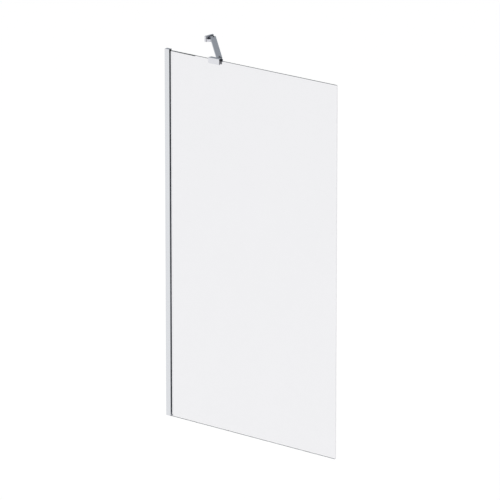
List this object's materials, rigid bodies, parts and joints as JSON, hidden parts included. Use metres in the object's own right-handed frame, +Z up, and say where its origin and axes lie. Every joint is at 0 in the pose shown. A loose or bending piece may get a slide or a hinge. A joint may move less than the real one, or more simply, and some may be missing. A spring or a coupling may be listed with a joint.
{
  "type": "bath screen",
  "caption": "Fixed rectangular clear-glass bath screen in a slim bright wall profile, held at its top edge by a clamp and a flat angled brace arm to the wall.",
  "frame": {"origin": "centre of the row of four wall-screw holes: on the wall plane, in the glass's mid-plane, halfway up the glass", "axes": "+X along the glass from the wall to the free edge, +Y to the wet side behind the glass where the brace arm is, +Z up"},
  "size_m": [0.81, 0.2678, 1.4086],
  "materials": {
    "bright_aluminium": "bright polished extrusion",
    "chrome": "polished chrome plate",
    "screw_steel": "plain stainless steel",
    "clear_glass": "clear toughened safety glass with ground edges",
    "seal_rubber": "matt dark grey",
    "washer_nylon": "natural nylon"
  },
  "bodies": {
    "wall_frame": {"wall_profile": "bright_aluminium", "profile_top_cap": "chrome", "profile_bottom_cap": "chrome", "channel_lock_screws": "screw_steel"},
    "glass_unit": {"glass_panel": "clear_glass", "glass_channel": "bright_aluminium", "glass_edge_gasket": "seal_rubber"},
    "clamp": {"glass_clamp": "chrome", "clamp_front_pad": "seal_rubber", "clamp_rear_pad": "seal_rubber", "clamp_pressure_plate": "screw_steel", "clamp_grub_screws": "screw_steel", "clamp_pivot_screw": "screw_steel", "clamp_pivot_washer": "washer_nylon"},
    "brace": {"brace_arm": "chrome", "arm_pivot_bushes": "washer_nylon"},
    "foot": {"wall_foot": "chrome", "foot_backplate": "screw_steel", "foot_grub_screw": "screw_steel", "foot_pivot_screw": "screw_steel", "foot_pivot_washer": "washer_nylon"}
  },
  "joints": [
    {"name": "glass_adjust", "type": "slide", "parent": "wall_frame", "child": "glass_unit", "axis": [1, 0, 0], "range_m": [-0.0025, 0.0025]},
    {"name": "clamp_slide", "type": "slide", "parent": "glass_unit", "child": "clamp", "axis": [1, 0, 0], "range_m": [-0.15, 0.45]},
    {"name": "arm_swivel", "type": "hinge", "parent": "clamp", "child": "brace", "pos_m": [0.23721, 0.0215, 0], "axis": [0, 0, 1], "range_deg": [-45, 15]},
    {"name": "foot_swivel", "type": "hinge", "parent": "brace", "child": "foot", "pos_m": [0.02225, 0.23646, 0], "axis": [0, 0, 1], "range_deg": [-45, 45]}
  ]
}
